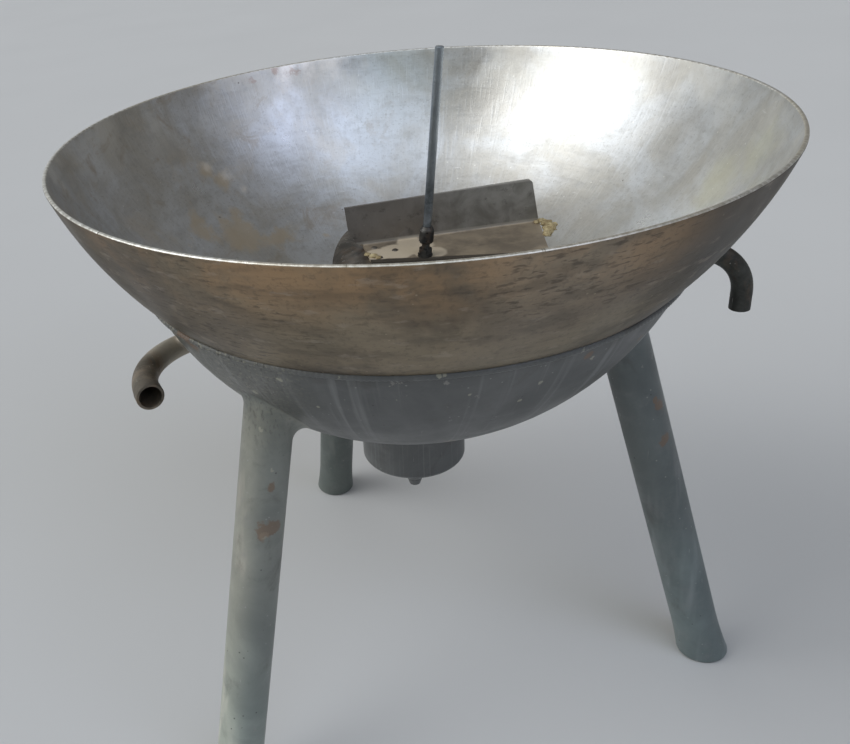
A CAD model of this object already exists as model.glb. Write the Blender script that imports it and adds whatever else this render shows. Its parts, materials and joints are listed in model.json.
"""The looks of a steam-jacketed pan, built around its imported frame.

Lengths are in metres and angles in degrees.
"""

import json
from math import asin, atan2, cos, degrees, pi, radians, sin, sqrt

import bpy
from mathutils import Matrix, Vector, noise


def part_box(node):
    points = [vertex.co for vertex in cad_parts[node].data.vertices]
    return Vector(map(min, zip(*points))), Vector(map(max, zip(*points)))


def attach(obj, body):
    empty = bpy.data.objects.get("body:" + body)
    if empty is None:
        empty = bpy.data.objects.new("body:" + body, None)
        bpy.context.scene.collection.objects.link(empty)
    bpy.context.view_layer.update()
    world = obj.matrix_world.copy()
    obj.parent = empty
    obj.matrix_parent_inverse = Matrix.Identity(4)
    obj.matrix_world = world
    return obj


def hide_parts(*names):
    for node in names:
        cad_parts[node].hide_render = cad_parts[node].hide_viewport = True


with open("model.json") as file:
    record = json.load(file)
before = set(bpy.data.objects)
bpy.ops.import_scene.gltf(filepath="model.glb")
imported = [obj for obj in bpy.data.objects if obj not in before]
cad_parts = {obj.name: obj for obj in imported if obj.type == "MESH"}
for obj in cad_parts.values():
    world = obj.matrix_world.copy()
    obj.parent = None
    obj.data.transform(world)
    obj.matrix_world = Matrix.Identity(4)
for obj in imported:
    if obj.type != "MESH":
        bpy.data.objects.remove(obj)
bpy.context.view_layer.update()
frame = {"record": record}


# ---------------------------------------------------------------- sizes read from the frame

# The rim is rounded, so the bowl's widest point lies a little inside the edge of its sphere.
RIM_INSET = 0.0009
RIM_ROUNDING = 0.0022
PLATE = 0.005
SEAM_STANDS_OUT = 0.0035

BOWL_LOW, BOWL_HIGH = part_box("pan_bowl")
SEAM_LOW, SEAM_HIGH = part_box("jacket_seam_weld")
RIM_HEIGHT = BOWL_HIGH.z
RIM_RADIUS = BOWL_HIGH.x + RIM_INSET
BOWL_BOTTOM = BOWL_LOW.z
SEAM_RADIUS = (SEAM_HIGH.x - SEAM_LOW.x) / 2 - SEAM_STANDS_OUT
SEAM_HEIGHT = (SEAM_HIGH.z + SEAM_LOW.z) / 2

SPIN = frame["record"]["behaviour"]["joints"][0]
SHAFT_POINT = Vector(SPIN["pos_m"])
SHAFT_AXIS = Vector(SPIN["axis"])

BOWL_DEPTH = RIM_HEIGHT - BOWL_BOTTOM
BOWL_RADIUS = (RIM_RADIUS ** 2 + BOWL_DEPTH ** 2) / (2 * BOWL_DEPTH)
BOWL_CENTRE = BOWL_BOTTOM + BOWL_RADIUS


# ---------------------------------------------------------------- camera, lights and floor

# The viewpoint: where the camera stands, and how it is turned from looking along +Y.
CAMERA_PLACE = Vector((0.0, -1.2208, 1.1702))
CAMERA_TURN = 10.12
CAMERA_DIP = 27.86
CAMERA_ROLL = 6.94
CAMERA_LENS_MM = 41.18
CAMERA_SHIFT = (0.1973, -0.0175)

# Soft patches of light in the surroundings: compass direction from +Y towards +X, elevation,
# width, brightness and colour.
SKY_PATCHES = (
    (257.0, 33.0, 25.0, 3.1, (0.98, 1.0, 1.01)),
    (233.0, 57.0, 14.0, 1.6, (0.97, 1.0, 1.03)),
    (133.0, 37.0, 21.0, 1.24, (0.84, 0.94, 1.22)),
    (163.0, 62.0, 18.0, 1.20, (0.84, 0.95, 1.14)),
    (178.0, 38.0, 18.0, 0.42, (0.80, 1.0, 1.08)),
    (322.0, 22.0, 34.0, 0.34, (0.93, 1.0, 1.03)),
)
SKY_BASE = (0.195, 0.19, 0.178)


def make_camera():
    data = bpy.data.cameras.new("camera")
    data.lens = CAMERA_LENS_MM
    data.sensor_width = 36.0
    data.shift_x, data.shift_y = CAMERA_SHIFT
    camera = bpy.data.objects.new("camera", data)
    turn = Matrix.Rotation(radians(CAMERA_TURN), 4, "Z")
    dip = Matrix.Rotation(radians(90.0 - CAMERA_DIP), 4, "X")
    roll = Matrix.Rotation(radians(-CAMERA_ROLL), 4, "Z")
    camera.matrix_world = Matrix.Translation(CAMERA_PLACE) @ turn @ dip @ roll
    bpy.context.scene.collection.objects.link(camera)
    bpy.context.scene.camera = camera


def compass(azimuth, elevation):
    """A unit vector from a compass direction and an elevation."""
    a, e = radians(azimuth), radians(elevation)
    return Vector((sin(a) * cos(e), cos(a) * cos(e), sin(e)))


class Nodes:
    """Short calls that add nodes to one node tree. Each takes sockets or plain values."""

    def __init__(self, tree):
        self.tree = tree
        tree.nodes.clear()

    def add(self, kind, *values, **settings):
        node = self.tree.nodes.new(kind)
        for name, value in settings.items():
            setattr(node, name, value)
        for socket, value in zip(node.inputs, values):
            self.put(socket, value)
        return node

    def put(self, socket, value):
        if isinstance(value, bpy.types.NodeSocket):
            self.tree.links.new(value, socket)
        elif value is not None:
            socket.default_value = value

    def math(self, operation, *values):
        return self.add("ShaderNodeMath", *values, operation=operation).outputs[0]

    def part(self, vector, axis):
        """One part of a vector: 0 for x, 1 for y, 2 for z."""
        return self.add("ShaderNodeSeparateXYZ", vector).outputs[axis]

    def vector(self, operation, *values):
        node = self.add("ShaderNodeVectorMath", *values, operation=operation)
        return node.outputs["Value" if operation in ("DOT_PRODUCT", "LENGTH", "DISTANCE") else "Vector"]

    def scale(self, vector, amount):
        node = self.add("ShaderNodeVectorMath", vector, operation="SCALE")
        self.put(node.inputs["Scale"], amount)
        return node.outputs[0]

    def noise(self, place, scale, detail=3.0, rough=0.5, warp=0.0):
        node = self.add("ShaderNodeTexNoise")
        for name, value in (("Vector", place), ("Scale", scale), ("Detail", detail),
                            ("Roughness", rough), ("Distortion", warp)):
            self.put(node.inputs[name], value)
        return node.outputs["Fac"]

    def cells(self, place, scale):
        node = self.add("ShaderNodeTexVoronoi")
        self.put(node.inputs["Vector"], place)
        self.put(node.inputs["Scale"], scale)
        return node.outputs["Distance"]

    def step(self, value, low, high):
        """0 below low and 1 above high, with a smooth rise; the other way round if low is larger."""
        node = self.add("ShaderNodeMapRange", interpolation_type="SMOOTHSTEP", clamp=True)
        start, end, flip = (low, high, False) if low < high else (high, low, True)
        for name, number in (("Value", value), ("From Min", start), ("From Max", end),
                             ("To Min", 1.0 if flip else 0.0), ("To Max", 0.0 if flip else 1.0)):
            self.put(node.inputs[name], number)
        return node.outputs["Result"]

    def span(self, value, low, high, out_low, out_high):
        node = self.add("ShaderNodeMapRange", clamp=True)
        for name, number in (("Value", value), ("From Min", low), ("From Max", high),
                             ("To Min", out_low), ("To Max", out_high)):
            self.put(node.inputs[name], number)
        return node.outputs["Result"]

    def blend(self, factor, first, second, mode="MIX"):
        node = self.add("ShaderNodeMix", data_type="RGBA", blend_type=mode)
        self.put(node.inputs["Factor"], factor)
        for socket, value in ((node.inputs[6], first), (node.inputs[7], second)):
            self.put(socket, value if isinstance(value, bpy.types.NodeSocket) else (*value, 1.0))
        return node.outputs[2]

    def over(self, colour, mask, share, tint):
        """A tint laid over a colour where the mask is 1, at a share of full strength."""
        return self.blend(self.times(mask, share), colour, tint)

    def times(self, *values):
        result = values[0]
        for value in values[1:]:
            result = self.math("MULTIPLY", result, value)
        return result

    def most(self, *values):
        result = values[0]
        for value in values[1:]:
            result = self.math("MAXIMUM", result, value)
        return result


def make_world():
    world = bpy.data.worlds.new("soft_studio")
    bpy.context.scene.world = world
    world.use_nodes = True
    sky = Nodes(world.node_tree)
    direction = sky.vector("NORMALIZE", sky.add("ShaderNodeTexCoord").outputs["Generated"])
    cloud = sky.span(sky.noise(direction, 2.6, 4.0, 0.55), 0.3, 0.7, 0.62, 1.38)
    light = sky.blend(0.0, SKY_BASE, SKY_BASE)
    for azimuth, elevation, width, brightness, colour in SKY_PATCHES:
        closeness = sky.vector("DOT_PRODUCT", direction, compass(azimuth, elevation))
        spread = 1.0 - cos(radians(width))
        fall = sky.math("DIVIDE", sky.math("SUBTRACT", 1.0, closeness), spread)
        glow = sky.times(cloud, sky.math("EXPONENT", sky.times(fall, fall, -1.0)))
        patch = tuple(brightness * part for part in colour)
        light = sky.blend(1.0, light, sky.scale(patch, glow), "ADD")
    background = sky.add("ShaderNodeBackground", light)
    output = sky.add("ShaderNodeOutputWorld")
    sky.put(output.inputs["Surface"], background.outputs[0])


def make_floor():
    mesh = bpy.data.meshes.new("floor")
    reach = 14.0
    corners = ((-1, -1), (1, -1), (1, 1), (-1, 1))
    mesh.from_pydata([(x * reach, y * reach, 0.0) for x, y in corners], [], [(0, 1, 2, 3)])
    floor = bpy.data.objects.new("floor", mesh)
    bpy.context.scene.collection.objects.link(floor)
    material, nodes, place = new_material("floor_paint")
    shade = nodes.noise(place, 1.3, 2.0)
    colour = nodes.blend(shade, (0.60, 0.60, 0.595), (0.64, 0.64, 0.635))
    finish(nodes, colour, 0.85)
    mesh.materials.append(material)


# ---------------------------------------------------------------- materials

def new_material(name):
    """A material, its node builder and the place on the object in the part's own frame."""
    material = bpy.data.materials.new(name)
    material.use_nodes = True
    nodes = Nodes(material.node_tree)
    place = nodes.add("ShaderNodeTexCoord").outputs["Object"]
    return material, nodes, place


def finish(nodes, colour, rough, metal=0.0, height=None, relief=0.0005, coat=0.0):
    """Joins colour, roughness and relief to a shader. A relief is in metres."""
    shader = nodes.add("ShaderNodeBsdfPrincipled")
    nodes.put(shader.inputs["Base Color"], colour)
    nodes.put(shader.inputs["Roughness"], rough)
    nodes.put(shader.inputs["Metallic"], metal)
    shader.inputs["Coat Weight"].default_value = coat
    shader.inputs["Coat Roughness"].default_value = 0.3
    if height is not None:
        bump = nodes.add("ShaderNodeBump")
        bump.inputs["Distance"].default_value = relief
        nodes.put(bump.inputs["Height"], height)
        nodes.put(shader.inputs["Normal"], bump.outputs[0])
    output = nodes.add("ShaderNodeOutputMaterial")
    nodes.put(output.inputs["Surface"], shader.outputs[0])


def turn_and_height(nodes, place):
    """Angle round the pan's axis in radians, height, and the two of them as one place."""
    x, y, z = nodes.add("ShaderNodeSeparateXYZ", place).outputs
    angle = nodes.math("ARCTAN2", y, x)
    return angle, z, nodes.add("ShaderNodeCombineXYZ", angle, z, 0.0).outputs[0]


def stretched(nodes, along, across, along_scale, across_scale):
    """A place for noise drawn out along one direction; each is given its own scale."""
    return nodes.add("ShaderNodeCombineXYZ", nodes.times(along, along_scale),
                     nodes.times(across, across_scale), 0.0).outputs[0]


def spots(nodes, place, marks, scale=60.0, ragged=2.4, soft=0.35):
    """1 in the middle of each mark, fading to a ragged edge. A mark is a centre and a radius."""
    edge = nodes.times(nodes.math("SUBTRACT", nodes.noise(place, scale, 5.0, 0.65), 0.5), ragged)
    result = None
    for centre, radius in marks:
        outward = nodes.math("DIVIDE", nodes.vector("DISTANCE", place, centre), radius)
        inward = nodes.math("SUBTRACT", 1.0, outward)
        mask = nodes.step(nodes.math("ADD", inward, edge), 0.0, soft)
        near = nodes.step(inward, -0.9, -0.2)
        mask = nodes.times(mask, near)
        result = mask if result is None else nodes.most(result, mask)
    return result


def streaks(nodes, place, stretch, low=0.66, high=0.74):
    """Thin marks drawn out along the direction with the smallest stretch."""
    return nodes.step(nodes.noise(nodes.vector("MULTIPLY", place, stretch), 1.0, 3.0, 0.55), low, high)


def specks(nodes, place, scale, size, share):
    """Small round specks: the middles of a share of scattered cells."""
    near = nodes.step(nodes.cells(place, scale), size, size * 0.5)
    chosen = nodes.step(nodes.noise(place, scale * 0.35, 0.0), 1.0 - share, 1.02 - share)
    return nodes.times(near, chosen)


def bowl_inside():
    """Dull scoured steel with tan and cream stains, a pale film under the rim, hatching and grit."""
    material, nodes, place = new_material("scoured_steel")
    _, height, wall = turn_and_height(nodes, place)
    blotch = nodes.noise(place, 8.0, 5.0, 0.6, 0.8)
    fine = nodes.noise(place, 60.0, 4.0, 0.65)
    colour = nodes.blend(nodes.step(blotch, 0.36, 0.64), (0.50, 0.485, 0.45), (0.61, 0.625, 0.64))
    colour = nodes.over(colour, nodes.step(fine, 0.45, 0.75), 0.5, (0.40, 0.395, 0.38))
    tan = nodes.step(nodes.noise(place, 10.0, 6.0, 0.66, 0.5), 0.50, 0.68)
    side = nodes.part(place, 0)
    tan_share = nodes.span(side, -0.18, 0.02, 0.50, 0.14)
    colour = nodes.blend(nodes.times(tan, tan_share), colour, (0.55, 0.49, 0.40))
    hatch = streaks(nodes, wall, (120.0, 22.0, 1.0), 0.50, 0.66)
    colour = nodes.over(colour, hatch, 0.16, (0.72, 0.74, 0.76))
    grit = nodes.step(nodes.noise(place, 260.0, 3.0, 0.7), 0.54, 0.68)
    colour = nodes.over(colour, grit, 0.40, (0.33, 0.32, 0.30))
    rings = streaks(nodes, wall, (5.0, 90.0, 1.0), 0.50, 0.68)
    colour = nodes.over(colour, rings, 0.22, (0.40, 0.40, 0.39))
    film = nodes.times(nodes.step(height, RIM_HEIGHT - 0.10, RIM_HEIGHT - 0.01),
                       nodes.step(nodes.noise(place, 11.0, 4.0, 0.6), 0.42, 0.62))
    colour = nodes.over(colour, film, 0.42, (0.78, 0.76, 0.70))
    rust = nodes.times(nodes.step(nodes.noise(place, 17.0, 6.0, 0.7, 0.8), 0.55, 0.70),
                       nodes.step(side, 0.10, -0.15))
    colour = nodes.over(colour, rust, 0.5, (0.40, 0.33, 0.25))
    colour = nodes.over(colour, spots(nodes, place, BROWN_STAINS, 22.0, 3.4, 0.8), 0.75, (0.62, 0.53, 0.40))
    cream = nodes.times(spots(nodes, place, CREAM_STAINS, 40.0, 2.6, 1.1), 0.62)
    colour = nodes.blend(cream, colour, (0.92, 0.86, 0.78))
    yellow = spots(nodes, place, YELLOW_STAINS, 16.0, 2.0, 0.9)
    colour = nodes.over(colour, yellow, 0.35, (0.60, 0.59, 0.40))
    colour = nodes.over(colour, specks(nodes, place, 75.0, 0.13, 0.40), 0.5, (0.80, 0.79, 0.74))
    colour = nodes.over(colour, specks(nodes, place, 46.0, 0.09, 0.35), 0.7, (0.20, 0.18, 0.16))
    red = nodes.times(spots(nodes, place, RIM_RUST, 70.0, 3.0), nodes.step(fine, 0.50, 0.60))
    colour = nodes.over(colour, red, 0.45, (0.40, 0.25, 0.19))
    scratches = streaks(nodes, wall, (14.0, 160.0, 1.0), 0.70, 0.76)
    colour = nodes.over(colour, scratches, 0.35, (0.80, 0.80, 0.80))
    rough = nodes.span(nodes.noise(place, 9.0, 5.0, 0.6), 0.3, 0.7, 0.26, 0.42)
    rough = nodes.math("ADD", rough, nodes.times(film, 0.10))
    bumps = nodes.math("ADD", nodes.times(fine, 0.6), nodes.times(nodes.math("ADD", hatch, rings), 0.15))
    bumps = nodes.math("SUBTRACT", bumps, nodes.times(scratches, 0.25))
    finish(nodes, colour, rough, 0.92, bumps, 0.0003)
    return material


def bowl_rim():
    """The ground edge: bright metal with small dark nicks."""
    material, nodes, place = new_material("ground_edge")
    angle, height, _ = turn_and_height(nodes, place)
    along = stretched(nodes, angle, height, 60.0, 200.0)
    wear = nodes.noise(along, 1.0, 5.0, 0.65)
    colour = nodes.blend(nodes.step(wear, 0.40, 0.62), (0.55, 0.53, 0.48), (0.86, 0.85, 0.81))
    nicks = nodes.step(nodes.noise(stretched(nodes, angle, height, 95.0, 60.0), 1.0, 3.0, 0.6), 0.66, 0.72)
    colour = nodes.over(colour, nicks, 0.85, (0.10, 0.085, 0.07))
    warm = nodes.step(nodes.noise(place, 5.0, 2.0), 0.45, 0.6)
    colour = nodes.over(colour, warm, 0.35, (0.74, 0.66, 0.50))
    finish(nodes, colour, nodes.span(wear, 0.3, 0.7, 0.30, 0.5), 0.85, wear, 0.0002)
    return material


def bowl_outside():
    """Heat-browned steel: orange below the rim, olive further down, dark to both sides, with short
    dark dashes level with the rim."""
    material, nodes, place = new_material("browned_steel")
    _, height, wall = turn_and_height(nodes, place)
    side = nodes.part(place, 0)
    blotch = nodes.noise(place, 6.0, 5.0, 0.62, 0.8)
    colour = nodes.blend(nodes.step(blotch, 0.36, 0.64), (0.165, 0.135, 0.100), (0.300, 0.245, 0.172))
    olive = nodes.times(nodes.step(height, RIM_HEIGHT - 0.055, RIM_HEIGHT - 0.15),
                        nodes.step(nodes.noise(place, 4.2, 3.0), 0.40, 0.6))
    colour = nodes.over(colour, olive, 0.6, (0.185, 0.170, 0.118))
    orange = nodes.times(nodes.step(height, RIM_HEIGHT - 0.10, RIM_HEIGHT - 0.005),
                         nodes.step(nodes.noise(place, 8.0, 5.0, 0.62), 0.38, 0.60))
    colour = nodes.over(colour, orange, 0.75, (0.46, 0.300, 0.165))
    middle = nodes.times(nodes.step(side, 0.02, 0.12), nodes.step(side, 0.25, 0.18))
    colour = nodes.over(colour, middle, 0.35, (0.40, 0.340, 0.270))
    violet = nodes.step(side, 0.19, 0.30)
    colour = nodes.over(colour, violet, 0.86, (0.066, 0.066, 0.062))
    left = nodes.step(side, -0.12, -0.40)
    colour = nodes.over(colour, left, 0.72, (0.084, 0.074, 0.060))
    patchy = nodes.step(nodes.noise(place, 7.0, 3.0), 0.38, 0.58)
    dashes = nodes.times(streaks(nodes, wall, (24.0, 230.0, 1.0), 0.53, 0.63), patchy)
    colour = nodes.over(colour, dashes, 0.55, (0.075, 0.060, 0.050))
    bands = streaks(nodes, wall, (6.0, 48.0, 1.0), 0.46, 0.66)
    colour = nodes.over(colour, bands, 0.35, (0.088, 0.074, 0.060))
    pale = streaks(nodes, wall, (13.0, 75.0, 3.0), 0.58, 0.70)
    colour = nodes.over(colour, pale, 0.30, (0.44, 0.38, 0.31))
    grain = nodes.noise(place, 170.0, 4.0, 0.65)
    colour = nodes.over(colour, nodes.step(grain, 0.5, 0.68), 0.28, (0.075, 0.065, 0.055))
    colour = nodes.over(colour, specks(nodes, place, 90.0, 0.14, 0.38), 0.45, (0.46, 0.38, 0.28))
    rough = nodes.span(nodes.noise(place, 12.0, 4.0), 0.3, 0.7, 0.42, 0.60)
    bumps = nodes.math("ADD", nodes.times(grain, 0.4), nodes.times(dashes, -0.6))
    finish(nodes, colour, rough, 0.8, bumps, 0.0003)
    return material


def paint(name, shade, marks=(), rust=(), drips=0.5, chips=0.4, tint=(1.0, 1.0, 1.0), upright=False):
    """Old slate-coloured machine paint: uneven shade, pale runs, specks, scratches, chips and rust."""
    material, nodes, place = new_material(name)
    _, height, wall = turn_and_height(nodes, place)
    dark = tuple(shade * part * tone for part, tone in zip((0.80, 0.84, 0.84), tint))
    light = tuple(shade * part * tone for part, tone in zip((1.18, 1.22, 1.20), tint))
    mottle = nodes.noise(place, 9.0, 5.0, 0.6, 0.4)
    colour = nodes.blend(nodes.step(mottle, 0.32, 0.68), dark, light)
    run_place, run_stretch = (place, (26.0, 26.0, 2.4)) if upright else (wall, (24.0, 2.6, 1.0))
    runs = nodes.times(streaks(nodes, run_place, run_stretch, 0.54, 0.72), drips)
    colour = nodes.blend(runs, colour, tuple(shade * 2.2 * part for part in (0.98, 1.0, 1.0)))
    if upright:
        colour = leg_wear(nodes, place, colour)
    haze = nodes.step(nodes.noise(place, 24.0, 5.0, 0.7), 0.5, 0.8)
    colour = nodes.over(colour, haze, 0.35, (shade * 1.8,) * 3)
    grime = nodes.step(nodes.noise(place, 13.0, 6.0, 0.7, 0.5), 0.54, 0.70)
    colour = nodes.over(colour, grime, 0.4, (0.052, 0.047, 0.038))
    dust = specks(nodes, place, 120.0, 0.17, 0.38)
    colour = nodes.over(colour, dust, 0.5, (0.34, 0.34, 0.32))
    pits = specks(nodes, place, 85.0, 0.13, 0.36)
    colour = nodes.over(colour, pits, 0.75, (0.025, 0.024, 0.022))
    scratch_place, stretch = (place, (150.0, 150.0, 11.0)) if upright else (wall, (64.0, 22.0, 1.0))
    scratches = streaks(nodes, scratch_place, stretch, 0.71, 0.76)
    colour = nodes.over(colour, scratches, 0.5, (0.36, 0.36, 0.34))
    scuffed = nodes.times(nodes.step(nodes.part(place, 0), -0.08, -0.18),
                          nodes.step(height, 0.50, 0.58))
    colour = nodes.over(colour, scuffed, 0.30, (0.115, 0.112, 0.085))
    scuffs = nodes.times(streaks(nodes, place, (190.0, 190.0, 330.0), 0.54, 0.64), scuffed, chips)
    colour = nodes.blend(scuffs, colour, (0.22, 0.21, 0.165))
    dark_scuffs = nodes.times(streaks(nodes, place, (260.0, 170.0, 110.0), 0.55, 0.64), scuffed, chips)
    colour = nodes.blend(dark_scuffs, colour, (0.035, 0.034, 0.028))
    worn = nodes.times(nodes.step(nodes.noise(place, 34.0, 5.0, 0.72), 0.68, 0.71), chips)
    colour = nodes.blend(worn, colour, (0.28, 0.27, 0.25))
    if marks:
        colour = nodes.over(colour, spots(nodes, place, marks, 160.0, 3.2), 0.6, (0.38, 0.37, 0.29))
    if rust:
        colour = nodes.over(colour, spots(nodes, place, rust, 80.0), 0.65, (0.17, 0.098, 0.055))
    rough = nodes.span(nodes.noise(place, 15.0, 4.0, 0.6), 0.3, 0.7, 0.36, 0.58)
    bumps = nodes.math("ADD", nodes.times(nodes.noise(place, 130.0, 3.0), 0.35), nodes.times(runs, 0.8))
    bumps = nodes.math("SUBTRACT", bumps, nodes.times(nodes.most(worn, scratches), 0.5))
    finish(nodes, colour, rough, 0.0, bumps, 0.0005, 0.10)
    return material


def leg_wear(nodes, place, colour):
    """The legs' wear. The front one is faded and olive, and paler on its left side. All are paler low
    down, and the rear one is grimy."""
    parts = nodes.add("ShaderNodeSeparateXYZ", place).outputs
    across = nodes.part(nodes.add("ShaderNodeTexCoord").outputs["Normal"], 0)
    ragged = nodes.times(nodes.math("SUBTRACT", nodes.noise(place, 20.0, 5.0, 0.65), 0.5), 0.12)
    below = nodes.step(nodes.math("ADD", parts[2], ragged), 0.600, 0.545)
    forward = nodes.times(nodes.step(parts[1], -0.13, -0.20), below)
    colour = nodes.blend(forward, colour, (1.82, 1.66, 1.50), "MULTIPLY")
    lit = nodes.times(forward, nodes.step(across, 0.35, -0.65))
    colour = nodes.blend(lit, colour, (1.36, 1.29, 1.22), "MULTIPLY")
    low = nodes.step(parts[2], 0.38, 0.10)
    colour = nodes.blend(low, colour, (1.26, 1.36, 1.38), "MULTIPLY")
    rear = nodes.step(parts[1], 0.10, 0.25)
    return nodes.blend(rear, colour, (0.74, 0.70, 0.64), "MULTIPLY")


def bare_steel(name, dark, light, rough, metal=0.75, pale_end=(), scale=1.0, rusty=0.25):
    """Bare or oiled steel, mottled, with turning marks and some rust. A paler end is given by an axis,
    the two places along it between which it begins, and its colour."""
    material, nodes, place = new_material(name)
    mottle = nodes.noise(place, 26.0 * scale, 5.0, 0.62, 0.5)
    colour = nodes.blend(nodes.step(mottle, 0.34, 0.66), dark, light)
    grime = nodes.step(nodes.noise(place, 70.0 * scale, 4.0, 0.65), 0.52, 0.72)
    colour = nodes.over(colour, grime, 0.55, tuple(0.35 * part for part in dark))
    brown = nodes.step(nodes.noise(place, 17.0 * scale, 5.0, 0.7, 1.0), 0.52, 0.68)
    colour = nodes.blend(nodes.times(brown, rusty), colour, (0.23, 0.13, 0.065))
    dots = specks(nodes, place, 150.0, 0.22, 0.4)
    colour = nodes.over(colour, dots, 0.5, (0.42, 0.39, 0.33))
    if pale_end:
        axis, begin, end, pale = pale_end
        along = nodes.part(place, axis)
        colour = nodes.over(colour, nodes.step(along, begin, end), 0.6, pale)
    scratches = streaks(nodes, place, (210.0, 210.0, 16.0), 0.68, 0.75)
    colour = nodes.over(colour, scratches, 0.45, (0.50, 0.49, 0.46))
    roughness = nodes.span(nodes.noise(place, 40.0 * scale, 4.0), 0.3, 0.7, rough - 0.08, rough + 0.12)
    bumps = nodes.math("SUBTRACT", nodes.noise(place, 210.0, 4.0, 0.6), nodes.times(grime, 0.4))
    finish(nodes, colour, roughness, metal, bumps, 0.00035)
    return material


def paddle_steel():
    """The paddle: brown film and pale residue on its level base, dark olive-grey on its upright back."""
    material, nodes, place = new_material("paddle_steel")
    height = nodes.part(place, 2)
    bottom, top = (corner.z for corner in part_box("paddle_blade"))
    along = nodes.vector("DOT_PRODUCT", place, FOLD_WAY)
    behind = nodes.vector("DOT_PRODUCT", place, BACK_WAY)
    blotch = nodes.noise(place, 26.0, 5.0, 0.62, 0.4)
    back = nodes.blend(nodes.step(blotch, 0.33, 0.67), (0.160, 0.150, 0.131), (0.275, 0.266, 0.243))
    back = nodes.over(back, nodes.step(along, 0.10, 0.0), 0.6, (0.175, 0.150, 0.130))
    stain = nodes.step(nodes.noise(place, 55.0, 5.0, 0.7), 0.56, 0.68)
    back = nodes.over(back, stain, 0.5, (0.060, 0.056, 0.050))
    film = nodes.blend(nodes.step(nodes.noise(place, 22.0, 5.0, 0.65), 0.34, 0.64),
                       (0.225, 0.185, 0.138), (0.370, 0.300, 0.215))
    residue = spots(nodes, place, RESIDUE, 20.0, 0.8, 0.2)
    film = nodes.blend(residue, film, (0.62, 0.53, 0.40))
    ahead = nodes.math("ADD", behind, nodes.times(along, FRONT_SLANT))
    lip = nodes.times(nodes.step(ahead, FRONT_LINE, FRONT_LINE - 0.003),
                      nodes.step(ahead, FRONT_LINE - 0.019, FRONT_LINE - 0.013))
    film = nodes.over(film, lip, 0.85, (0.040, 0.034, 0.027))
    upright = nodes.step(height, bottom + FOLD_RISE, bottom + 2 * FOLD_RISE)
    colour = nodes.blend(upright, film, back)
    fold = nodes.times(nodes.step(height, bottom + FOLD_RISE, bottom + 0.0065),
                       nodes.step(height, bottom + 0.0105, bottom + 0.0085))
    colour = nodes.over(colour, fold, 0.6, (0.42, 0.40, 0.36))
    edge = nodes.step(height, top - 0.0035, top - 0.0010)
    colour = nodes.over(colour, edge, 0.45, (0.50, 0.48, 0.44))
    dots = specks(nodes, place, 160.0, 0.14, 0.38)
    colour = nodes.over(colour, dots, 0.4, (0.50, 0.46, 0.36))
    rough = nodes.span(nodes.noise(place, 45.0, 4.0), 0.3, 0.7, 0.42, 0.62)
    rough = nodes.math("ADD", rough, nodes.times(residue, 0.25))
    grain = nodes.noise(place, 150.0, 4.0, 0.65)
    bumps = nodes.math("ADD", nodes.times(grain, 0.5), nodes.times(residue, 0.8))
    finish(nodes, colour, rough, 0.45, bumps, 0.0004)
    return material


def crust(name, low, high):
    """Dried product: matt, grainy and uneven in shade."""
    material, nodes, place = new_material(name)
    shade = nodes.noise(place, 170.0, 5.0, 0.7)
    colour = nodes.blend(nodes.step(shade, 0.35, 0.68), low, high)
    finish(nodes, colour, 0.82, 0.0, shade, 0.0006)
    return material


# Marks on the pan, as a centre and a radius.
RIM_RUST = (
    ((-0.172, 0.405, 0.832), 0.017), ((-0.200, 0.392, 0.834), 0.011), ((-0.235, 0.372, 0.828), 0.008),
)
BROWN_STAINS = (
    ((-0.252, 0.175, 0.641), 0.050), ((-0.300, 0.130, 0.658), 0.040), ((-0.196, 0.205, 0.622), 0.036),
    ((-0.280, 0.240, 0.705), 0.022), ((-0.306, 0.230, 0.723), 0.018), ((-0.127, 0.230, 0.607), 0.010),
)
CREAM_STAINS = (
    ((-0.304, 0.240, 0.730), 0.014), ((-0.278, 0.247, 0.709), 0.016), ((-0.249, 0.250, 0.686), 0.013),
    ((-0.186, 0.402, 0.836), 0.030), ((-0.113, 0.428, 0.834), 0.034),
    ((-0.150, 0.416, 0.836), 0.026),
)
YELLOW_STAINS = (
    ((0.419, -0.028, 0.783), 0.055), ((0.389, 0.004, 0.731), 0.060), ((0.400, -0.100, 0.750), 0.045),
)
JACKET_CHIPS = (
    ((0.028, -0.350, 0.674), 0.0036), ((0.176, -0.298, 0.670), 0.0060), ((-0.073, -0.339, 0.671), 0.0040),
    ((0.191, -0.277, 0.647), 0.0035), ((-0.103, -0.299, 0.610), 0.0026), ((0.135, -0.300, 0.632), 0.0040),
    ((0.115, -0.293, 0.607), 0.0030), ((-0.016, -0.330, 0.634), 0.0026), ((0.060, -0.325, 0.635), 0.0026),
    ((-0.141, -0.307, 0.651), 0.0040), ((-0.179, -0.261, 0.609), 0.0050), ((0.034, -0.350, 0.674), 0.0030),
)
JACKET_RUST = (
    ((-0.256, -0.232, 0.668), 0.022), ((0.256, -0.207, 0.632), 0.006), ((0.186, -0.284, 0.655), 0.007),
    ((0.043, -0.222, 0.510), 0.010),
)
LEG_MARKS = (
    ((-0.168, -0.264, 0.500), 0.004), ((-0.190, -0.290, 0.330), 0.003), ((-0.186, -0.281, 0.415), 0.006),
    ((-0.180, -0.255, 0.552), 0.004),
)
LEG_RUST = (
    ((-0.182, -0.278, 0.421), 0.014), ((-0.173, -0.272, 0.423), 0.010), ((-0.172, -0.266, 0.478), 0.006),
    ((0.327, -0.056, 0.449), 0.010), ((0.320, -0.059, 0.458), 0.006), ((0.337, -0.061, 0.396), 0.009),
)
RESIDUE = (
    ((0.010, 0.032, 0.659), 0.030), ((-0.012, 0.020, 0.659), 0.028), ((-0.036, 0.012, 0.659), 0.022),
    ((0.032, 0.008, 0.659), 0.024), ((0.004, 0.052, 0.659), 0.018),
)

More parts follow.
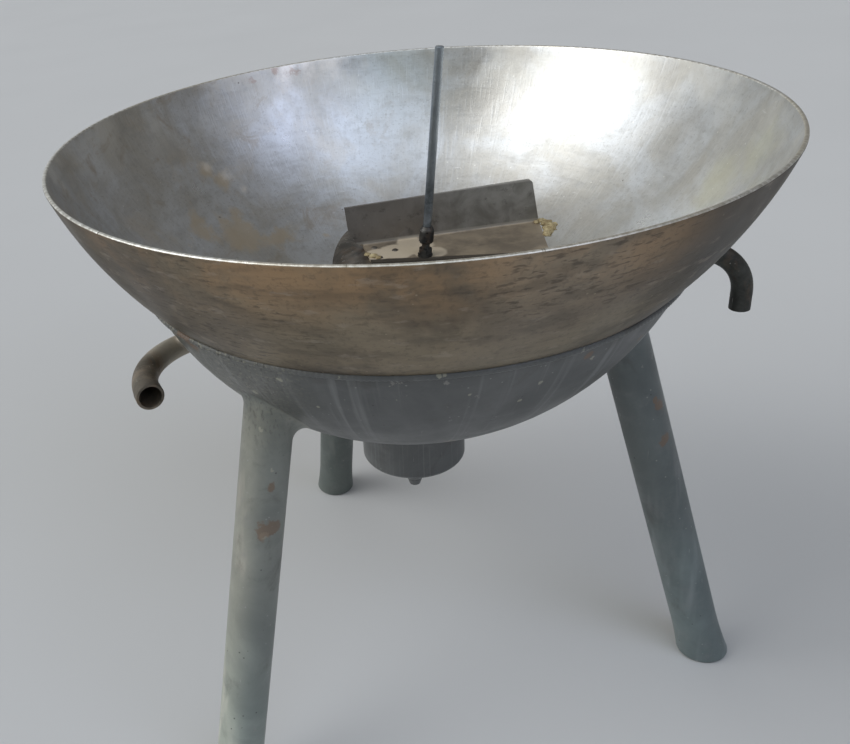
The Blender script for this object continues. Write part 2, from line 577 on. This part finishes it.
# The paddle's own directions, along its fold and behind it. Its dark front strip runs between two lines
# that slant back along it: how far behind the axis they start, and by how much they slant.
FOLD_AZIMUTH = radians(12.4)
FOLD_WAY = Vector((cos(FOLD_AZIMUTH), sin(FOLD_AZIMUTH), 0.0))
BACK_WAY = Vector((-sin(FOLD_AZIMUTH), cos(FOLD_AZIMUTH), 0.0))
FRONT_LINE = -0.0035
FRONT_SLANT = 0.235
FOLD_RISE = 0.005

# Lumps of dried product at the paddle's right end and left corner: middle, radius and thickness.
CRUMBS = (
    ((0.188, 0.100, 0.6605), 0.0065, 0.0030), ((0.194, 0.094, 0.6590), 0.0085, 0.0042),
    ((0.199, 0.083, 0.6585), 0.0070, 0.0036), ((0.196, 0.073, 0.6580), 0.0090, 0.0040),
    ((0.192, 0.062, 0.6580), 0.0070, 0.0035), ((0.189, 0.052, 0.6590), 0.0060, 0.0030),
    ((0.204, 0.090, 0.6575), 0.0055, 0.0030), ((0.181, 0.096, 0.6605), 0.0045, 0.0022),
    ((-0.044, 0.006, 0.6600), 0.0060, 0.0022), ((-0.052, 0.012, 0.6600), 0.0048, 0.0020),
    ((-0.037, -0.001, 0.6600), 0.0042, 0.0018),
)


# ---------------------------------------------------------------- pieces

def mesh_piece(name, points, faces, materials, body="root"):
    mesh = bpy.data.meshes.new(name)
    mesh.from_pydata(points, [], faces)
    for material in materials:
        mesh.materials.append(material)
    for polygon in mesh.polygons:
        polygon.use_smooth = True
    piece = bpy.data.objects.new(name, mesh)
    bpy.context.scene.collection.objects.link(piece)
    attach(piece, body)
    return piece


LONG_DENT = 0.0009
SHORT_DENT = 0.00028


def dent(point):
    """How far the plate is off true at a point, from pressing and years of use."""
    long_wave = noise.noise(point / 0.20 + Vector((3.1, 7.7, 1.3)))
    short_wave = noise.noise(point / 0.062 + Vector((9.2, 0.4, 5.5)))
    return LONG_DENT * long_wave + SHORT_DENT * short_wave


# The bowl's mesh: quads round it, rings up each face and steps over each half of the rim. The last
# RIM_FADE rows of the rim have the outside's material.
TURNS = 432
FACE_STEPS = 74
INNER_RIM_STEPS = 5
OUTER_RIM_STEPS = 6
RIM_FADE = 3
HOLE_RADIUS = 0.0213
HOLE_GATHER = 0.09
EASING_DEPTH = 0.03
SHAFT_SLOPE = SHAFT_AXIS.x / SHAFT_AXIS.z
SHAFT_CROSSING = SHAFT_POINT.z - SHAFT_POINT.x / SHAFT_SLOPE


def lip_radius(ball_radius, shift):
    """The radius at which a face of the bowl meets the rim's rounding, whose middle is shifted from it."""
    drop = BOWL_CENTRE - RIM_HEIGHT + RIM_ROUNDING
    middle = ball_radius + shift
    return sqrt(middle ** 2 - drop ** 2) * ball_radius / middle


def polar_radii(ball_radius, edge):
    """Ring radii at equal steps of arc from the shaft's hole to the edge."""
    low, high = asin(HOLE_RADIUS / ball_radius), asin(edge / ball_radius)
    return [ball_radius * sin(low + (high - low) * step / FACE_STEPS) for step in range(FACE_STEPS)]


def bowl_ring(ball_radius, radius):
    """One ring of the bowl's inner or outer face; rings near the bottom gather round the shaft's hole."""
    gather = max(0.0, 1.0 - (radius - HOLE_RADIUS) / HOLE_GATHER) ** 2
    bottom = BOWL_CENTRE - ball_radius
    offset = (bottom - SHAFT_CROSSING) * SHAFT_SLOPE * gather
    ring = []
    for step in range(TURNS):
        angle = 2 * pi * step / TURNS
        x, y = offset + radius * cos(angle), radius * sin(angle)
        ring.append(Vector((x, y, BOWL_CENTRE - sqrt(ball_radius ** 2 - x * x - y * y))))
    return ring


def face_rings(ball_radius, shift):
    """The rings of one face of the bowl, from the shaft's hole up to the rim."""
    edge = lip_radius(ball_radius, shift)
    return [bowl_ring(ball_radius, radius) for radius in polar_radii(ball_radius, edge)]


def rim_ring(radius, height):
    return [Vector((radius * cos(2 * pi * step / TURNS), radius * sin(2 * pi * step / TURNS), height))
            for step in range(TURNS)]


def rim_rings():
    """Rings round the rounded rim, from its inner side over the top to its outer side."""
    rounding = RIM_ROUNDING
    inner_ball, outer_ball = BOWL_RADIUS - PLATE, BOWL_RADIUS
    height = RIM_HEIGHT - rounding
    drop = BOWL_CENTRE - height
    rings = []
    halves = ((inner_ball + rounding, None, 90.0, INNER_RIM_STEPS),
              (outer_ball - rounding, 90.0, None, OUTER_RIM_STEPS))
    for ball, first, last, steps in halves:
        centre = sqrt(ball ** 2 - drop ** 2)
        tilt = degrees(atan2(drop, centre))
        start = 180.0 - tilt if first is None else first
        end = -tilt if last is None else last
        for step in range(steps + 1):
            angle = radians(start + (end - start) * step / steps)
            rings.append(rim_ring(centre + rounding * cos(angle), height + rounding * sin(angle)))
    return rings


def make_bowl():
    """The pan as one closed shell: inside, rim, outside and the wall of the shaft's hole."""
    inner_ball, outer_ball = BOWL_RADIUS - PLATE, BOWL_RADIUS
    inner = face_rings(inner_ball, RIM_ROUNDING)
    outer = face_rings(outer_ball, -RIM_ROUNDING)
    rings = inner + rim_rings() + outer[::-1]
    centre = Vector((0.0, 0.0, BOWL_CENTRE))
    points = []
    for ring in rings:
        for point in ring:
            outward = (point - centre).normalized()
            base = centre + outward * BOWL_RADIUS
            easing = min(1.0, (RIM_HEIGHT - point.z) / EASING_DEPTH)
            points.append(point + outward * dent(base) * easing)
    faces, kinds = [], []
    count = len(rings)
    for row in range(count):
        after = (row + 1) % count
        kind = 0 if row < FACE_STEPS else (1 if row < count - FACE_STEPS - RIM_FADE else 2)
        for step in range(TURNS):
            turn = (step + 1) % TURNS
            faces.append((row * TURNS + step, row * TURNS + turn,
                          after * TURNS + turn, after * TURNS + step))
            kinds.append(kind)
    materials = (bowl_inside(), bowl_rim(), bowl_outside())
    bowl = mesh_piece("bowl_shell", points, faces, materials)
    for polygon, kind in zip(bowl.data.polygons, kinds):
        polygon.material_index = kind
    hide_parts("pan_bowl")


def make_seam_bead(material):
    """The weld bead round the jacket's seam, with its ripples."""
    ripples, per_ripple, sides = 340, 4, 12
    thick, ripple_height, wander = 0.0040, 0.00025, 0.0003
    count = ripples * per_ripple
    points, faces = [], []
    for step in range(count):
        angle = 2 * pi * step / count
        phase = (step % per_ripple) / per_ripple
        here = Vector((cos(angle), sin(angle), 0.0))
        uneven = noise.noise(here * 9.0)
        thickness = thick + ripple_height * cos(2 * pi * phase) + wander * uneven
        for side in range(sides):
            around = 2 * pi * side / sides
            reach = SEAM_RADIUS + thickness * cos(around)
            points.append((here.x * reach, here.y * reach, SEAM_HEIGHT + thickness * sin(around)))
    for step in range(count):
        after = (step + 1) % count
        for side in range(sides):
            turn = (side + 1) % sides
            faces.append((step * sides + side, after * sides + side,
                          after * sides + turn, step * sides + turn))
    bead = mesh_piece("seam_bead", points, faces, (material,))
    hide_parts("jacket_seam_weld")


def make_crumbs(name, centres, material, body="agitator"):
    """Small lumps of dried product, each a rough flattened pebble with a single point at each pole."""
    points, faces = [], []
    rows, turns = 6, 12
    for centre, radius, thickness in centres:
        first = len(points)
        for row in range(rows + 1):
            level = pi * row / rows
            for step in range(turns if 0 < row < rows else 1):
                angle = 2 * pi * step / turns
                way = Vector((sin(level) * cos(angle), sin(level) * sin(angle), cos(level)))
                lump = 1.0 + 0.45 * noise.noise(way * 1.7 + Vector(centre) * 90.0)
                points.append((centre[0] + way.x * radius * lump, centre[1] + way.y * radius * lump,
                               centre[2] + way.z * thickness * lump))
        last = len(points) - 1
        for step in range(turns):
            turn = (step + 1) % turns
            faces.append((first, first + 1 + step, first + 1 + turn))
            for ring in range(first + 1, last - turns, turns):
                faces.append((ring + step, ring + turns + step, ring + turns + turn, ring + turn))
            faces.append((last - turns + step, last, last - turns + turn))
    return mesh_piece(name, points, faces, (material,), body)


def paint_node(node, material):
    mesh = bpy.data.objects[node].data
    for index in range(len(mesh.materials)):
        mesh.materials[index] = material


def main():
    make_camera()
    make_world()
    make_floor()
    make_bowl()
    jacket = paint("jacket_paint", 0.094, JACKET_CHIPS, JACKET_RUST, 0.60, 0.6)
    make_seam_bead(paint("bead_paint", 0.10, JACKET_CHIPS, JACKET_RUST, 0.1, 0.9))
    make_crumbs("dried_crumbs", CRUMBS, crust("dried_crust", (0.26, 0.19, 0.09), (0.62, 0.52, 0.30)))
    cup = paint("cup_paint", 0.10, (), (), 0.6, 0.3)
    legs = paint("leg_paint", 0.118, LEG_MARKS, LEG_RUST, 0.35, 0.4, (0.90, 1.0, 1.0), True)
    looks = {
        jacket: ("steam_jacket",),
        cup: ("sump_cup", "cup_seam_weld", "drain_socket", "drain_plug"),
        legs: ("leg_front", "leg_right", "leg_rear", "foot_front", "foot_right", "foot_rear", "leg_welds"),
        bare_steel("inlet_iron", (0.115, 0.100, 0.078), (0.25, 0.205, 0.155), 0.50, 0.45,
                   (1, -0.165, -0.125, (0.62, 0.56, 0.47)), 1.0, 0.35):
            ("steam_inlet_pipe", "steam_inlet_collar", "inlet_pipe_weld"),
        bare_steel("outlet_iron", (0.022, 0.023, 0.020), (0.062, 0.064, 0.056), 0.5, 0.4, (), 1.0, 0.15):
            ("steam_outlet_pipe", "outlet_pipe_weld"),
        bare_steel("rod_steel", (0.10, 0.112, 0.120), (0.27, 0.295, 0.315), 0.36, 0.85,
                   (2, 0.72, 0.83, (0.40, 0.45, 0.49)), 1.2, 0.06):
            ("drive_rod",),
        bare_steel("coupling_steel", (0.030, 0.029, 0.028), (0.10, 0.096, 0.088), 0.42, 0.7, (), 1.5, 0.2):
            ("shaft_coupling", "coupling_screws", "hub_nut", "taper_washer", "blade_hub", "lower_spindle",
             "thrust_collar"),
        paddle_steel(): ("paddle_blade",),
        bare_steel("wiper_steel", (0.060, 0.052, 0.042), (0.17, 0.15, 0.125), 0.46, 0.6, (), 1.2, 0.3):
            ("end_wiper", "wiper_rivets"),
        bare_steel("sleeve_steel", (0.16, 0.15, 0.13), (0.36, 0.34, 0.30), 0.42, 0.8, (), 1.0, 0.2):
            ("centre_sleeve", "gland_nut", "footstep_block"),
        bare_steel("bush_bronze", (0.32, 0.20, 0.08), (0.58, 0.38, 0.17), 0.36, 0.95, (), 1.4, 0.1):
            ("upper_bush", "lower_bush", "footstep_pad"),
        bare_steel("packing_rope", (0.10, 0.085, 0.06), (0.26, 0.22, 0.16), 0.8, 0.0, (), 2.2, 0.1):
            ("gland_packing",),
    }
    for material, nodes in looks.items():
        for node in nodes:
            paint_node(node, material)


main()
bpy.context.scene.view_settings.view_transform = "Standard"
